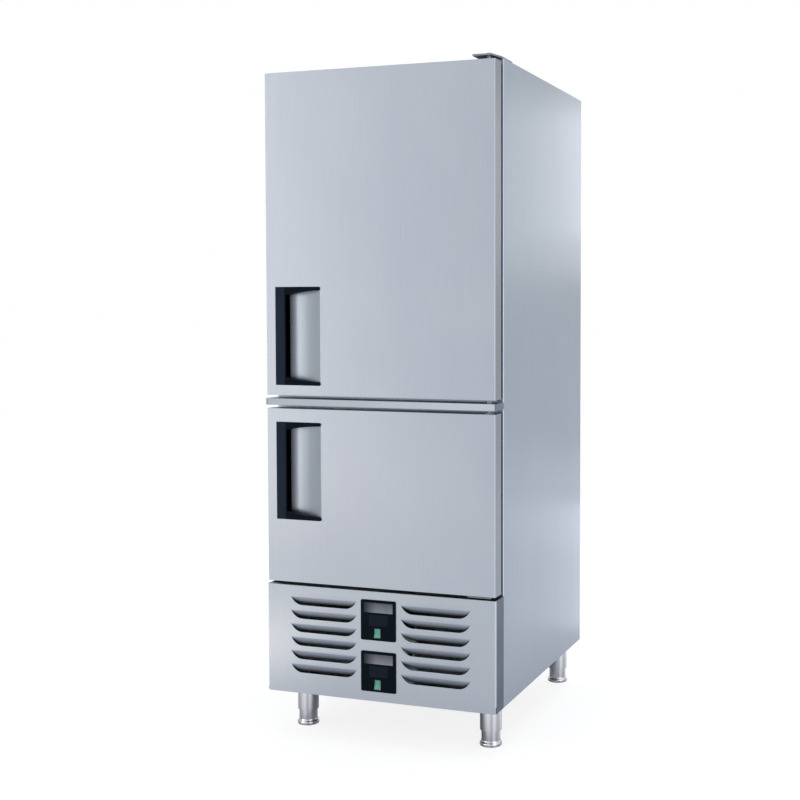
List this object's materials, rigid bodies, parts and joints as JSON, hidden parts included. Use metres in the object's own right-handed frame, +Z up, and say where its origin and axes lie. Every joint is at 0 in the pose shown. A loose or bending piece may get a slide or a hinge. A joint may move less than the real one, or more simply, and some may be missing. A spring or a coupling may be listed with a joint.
{
  "type": "upright catering refrigerator",
  "caption": "Tall stainless catering refrigerator with stacked hinged doors, recessed black-trimmed handles, a louvred tilting panel with controls, wire shelves and levelling feet.",
  "frame": {"origin": "on the floor under the middle of the cabinet's overall box", "axes": "+X to the right seen from the front, where the hinges are, +Y from the doors to the back, +Z up"},
  "size_m": [0.75, 0.9, 2.058],
  "materials": {
    "casing_steel": "satin",
    "door_steel": "satin",
    "panel_steel": "satin",
    "rail_steel": "satin",
    "frame_steel": "satin",
    "scoop_steel": "satin",
    "liner_steel": "satin",
    "cover_steel": "satin",
    "back_steel": "matte",
    "leg_steel": "satin",
    "hinge_steel": "satin",
    "runner_steel": "satin",
    "shelf_steel": "gloss",
    "foam": "matte",
    "gasket_rubber": "matte",
    "grip_plastic": "satin",
    "bush_plastic": "satin",
    "cheek_plastic": "matte",
    "bezel_plastic": "satin",
    "window_plastic": "gloss",
    "label_plastic": "satin",
    "rocker_green": "gloss",
    "fan_plastic": "satin",
    "motor_black": "satin",
    "can_black": "gloss",
    "grommet_rubber": "matte",
    "coil_fins": "satin",
    "shroud_steel": "satin",
    "copper": "satin",
    "box_plastic": "matte",
    "tray_plastic": "matte"
  },
  "bodies": {
    "cabinet": {"side_skins": "casing_steel", "top_skin": "casing_steel", "back_panel": "back_steel", "front_frame": "frame_steel", "insulation": "foam", "upper_liner": "liner_steel", "lower_liner": "liner_steel", "deck_plate": "back_steel", "base_frame": "back_steel", "leg_sleeves": "leg_steel", "mid_rail": "rail_steel", "side_cheeks": "cheek_plastic", "hinge_plates": "hinge_steel", "uprights": "runner_steel", "runners": "runner_steel", "evaporators": "coil_fins", "evaporator_covers": "cover_steel", "fan_motors": "motor_black", "compressors": "can_black", "grommets": "grommet_rubber", "condensers": "coil_fins", "fan_shrouds": "shroud_steel", "pipework": "copper", "terminal_box": "box_plastic", "rear_grille": "back_steel"},
    "upper_door": {"upper_door_skin": "door_steel", "upper_door_core": "foam", "upper_door_liner": "liner_steel", "upper_gasket": "gasket_rubber", "upper_handle_cup": "scoop_steel", "upper_handle_grip": "grip_plastic", "upper_bushes": "bush_plastic"},
    "lower_door": {"lower_door_skin": "door_steel", "lower_door_core": "foam", "lower_door_liner": "liner_steel", "lower_gasket": "gasket_rubber", "lower_handle_cup": "scoop_steel", "lower_handle_grip": "grip_plastic", "lower_bushes": "bush_plastic"},
    "panel": {"front_panel": "panel_steel", "control_bezels": "bezel_plastic", "display_windows": "window_plastic", "label_strips": "label_plastic"},
    "upper_rocker": {"rocker_upper": "rocker_green"},
    "lower_rocker": {"rocker_lower": "rocker_green"},
    "left_condenser_fan": {"fan_left": "fan_plastic"},
    "right_condenser_fan": {"fan_right": "fan_plastic"},
    "upper_evaporator_fan": {"fan_upper": "fan_plastic"},
    "lower_evaporator_fan": {"fan_lower": "fan_plastic"},
    "low_shelf": {"shelf_low": "shelf_steel"},
    "first_shelf": {"shelf_one": "shelf_steel"},
    "second_shelf": {"shelf_two": "shelf_steel"},
    "third_shelf": {"shelf_three": "shelf_steel"},
    "front_left_foot": {"foot_front_left": "leg_steel"},
    "front_right_foot": {"foot_front_right": "leg_steel"},
    "rear_left_foot": {"foot_rear_left": "leg_steel"},
    "rear_right_foot": {"foot_rear_right": "leg_steel"},
    "tray": {"drip_tray": "tray_plastic"}
  },
  "joints": [
    {"name": "upper_door_hinge", "type": "hinge", "parent": "cabinet", "child": "upper_door", "pos_m": [0.345, -0.422, 1.06], "axis": [0, 0, 1], "range_deg": [0, 110]},
    {"name": "lower_door_hinge", "type": "hinge", "parent": "cabinet", "child": "lower_door", "pos_m": [0.345, -0.422, 0.485], "axis": [0, 0, 1], "range_deg": [0, 110]},
    {"name": "panel_tilt", "type": "hinge", "parent": "cabinet", "child": "panel", "pos_m": [0, -0.436, 0.148], "axis": [1, 0, 0], "range_deg": [0, 80]},
    {"name": "upper_rocker_tilt", "type": "hinge", "parent": "panel", "child": "upper_rocker", "pos_m": [-0.004, -0.443, 0.3475], "axis": [1, 0, 0], "range_deg": [0, 16]},
    {"name": "lower_rocker_tilt", "type": "hinge", "parent": "panel", "child": "lower_rocker", "pos_m": [-0.004, -0.443, 0.191], "axis": [1, 0, 0], "range_deg": [0, 16]},
    {"name": "left_condenser_fan_spin", "type": "hinge", "parent": "cabinet", "child": "left_condenser_fan", "pos_m": [-0.184, -0.284, 0.259], "axis": [0, 1, 0], "continuous": true},
    {"name": "right_condenser_fan_spin", "type": "hinge", "parent": "cabinet", "child": "right_condenser_fan", "pos_m": [0.184, -0.284, 0.259], "axis": [0, 1, 0], "continuous": true},
    {"name": "upper_evaporator_fan_spin", "type": "hinge", "parent": "cabinet", "child": "upper_evaporator_fan", "pos_m": [0, 0.29, 1.8725], "axis": [0, 1, 0], "continuous": true},
    {"name": "lower_evaporator_fan_spin", "type": "hinge", "parent": "cabinet", "child": "lower_evaporator_fan", "pos_m": [0, 0.29, 0.8525], "axis": [0, 1, 0], "continuous": true},
    {"name": "low_shelf_slide", "type": "slide", "parent": "cabinet", "child": "low_shelf", "axis": [0, -1, 0], "range_m": [0, 0.07]},
    {"name": "first_shelf_slide", "type": "slide", "parent": "cabinet", "child": "first_shelf", "axis": [0, -1, 0], "range_m": [0, 0.07]},
    {"name": "second_shelf_slide", "type": "slide", "parent": "cabinet", "child": "second_shelf", "axis": [0, -1, 0], "range_m": [0, 0.07]},
    {"name": "third_shelf_slide", "type": "slide", "parent": "cabinet", "child": "third_shelf", "axis": [0, -1, 0], "range_m": [0, 0.07]},
    {"name": "front_left_foot_screw", "type": "slide", "parent": "cabinet", "child": "front_left_foot", "axis": [0, 0, -1], "range_m": [0, 0.04]},
    {"name": "front_right_foot_screw", "type": "slide", "parent": "cabinet", "child": "front_right_foot", "axis": [0, 0, -1], "range_m": [0, 0.04]},
    {"name": "rear_left_foot_screw", "type": "slide", "parent": "cabinet", "child": "rear_left_foot", "axis": [0, 0, -1], "range_m": [0, 0.04]},
    {"name": "rear_right_foot_screw", "type": "slide", "parent": "cabinet", "child": "rear_right_foot", "axis": [0, 0, -1], "range_m": [0, 0.04]},
    {"name": "tray_slide", "type": "slide", "parent": "cabinet", "child": "tray", "axis": [0, 1, 0], "range_m": [0, 0.18]}
  ]
}
